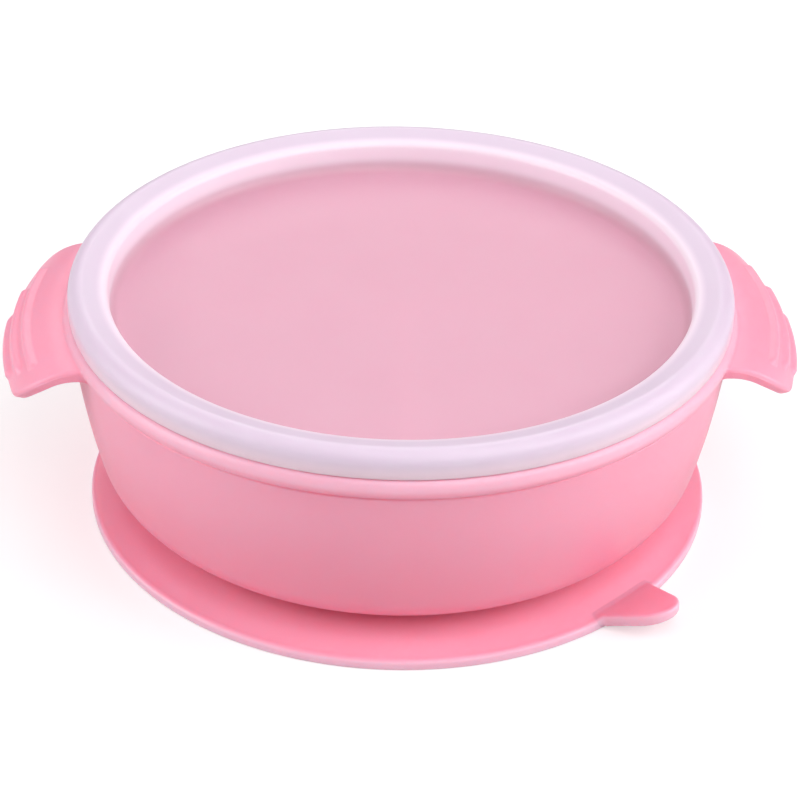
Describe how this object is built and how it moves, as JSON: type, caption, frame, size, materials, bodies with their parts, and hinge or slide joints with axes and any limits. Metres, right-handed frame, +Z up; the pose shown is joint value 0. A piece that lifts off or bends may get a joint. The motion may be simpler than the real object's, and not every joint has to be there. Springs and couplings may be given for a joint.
{
  "type": "suction bowl",
  "caption": "Child's soft silicone bowl with ear handles, a press-on translucent lid and a suction cup base with a release tab.",
  "frame": {"origin": "centre of the suction lip, on the plane the bowl stands on", "axes": "+Z up out of the bowl, +X through the two handles, -Y towards the child's side; the release tab points between +X and -Y"},
  "size_m": [0.156, 0.1316, 0.0495],
  "materials": {
    "pink_silicone": "satin",
    "lid_silicone": "satin, milky translucent"
  },
  "bodies": {
    "base": {"suction_base": "pink_silicone"},
    "bowl_body": {"bowl": "pink_silicone", "suction_hub": "pink_silicone"},
    "lid_body": {"lid": "lid_silicone"},
    "tab": {"pull_tab": "pink_silicone"}
  },
  "joints": [
    {"name": "suction_press", "type": "slide", "parent": "base", "child": "bowl_body", "axis": [0, 0, -1], "range_m": [0, 0.002]},
    {"name": "lid_lift", "type": "slide", "parent": "bowl_body", "child": "lid_body", "axis": [0, 0, 1], "range_m": [0, 0.04]},
    {"name": "tab_pull", "type": "hinge", "parent": "base", "child": "tab", "pos_m": [0.04372, -0.0464, 0.00236], "axis": [-0.7278, -0.6858, 0], "range_deg": [0, 60]}
  ]
}
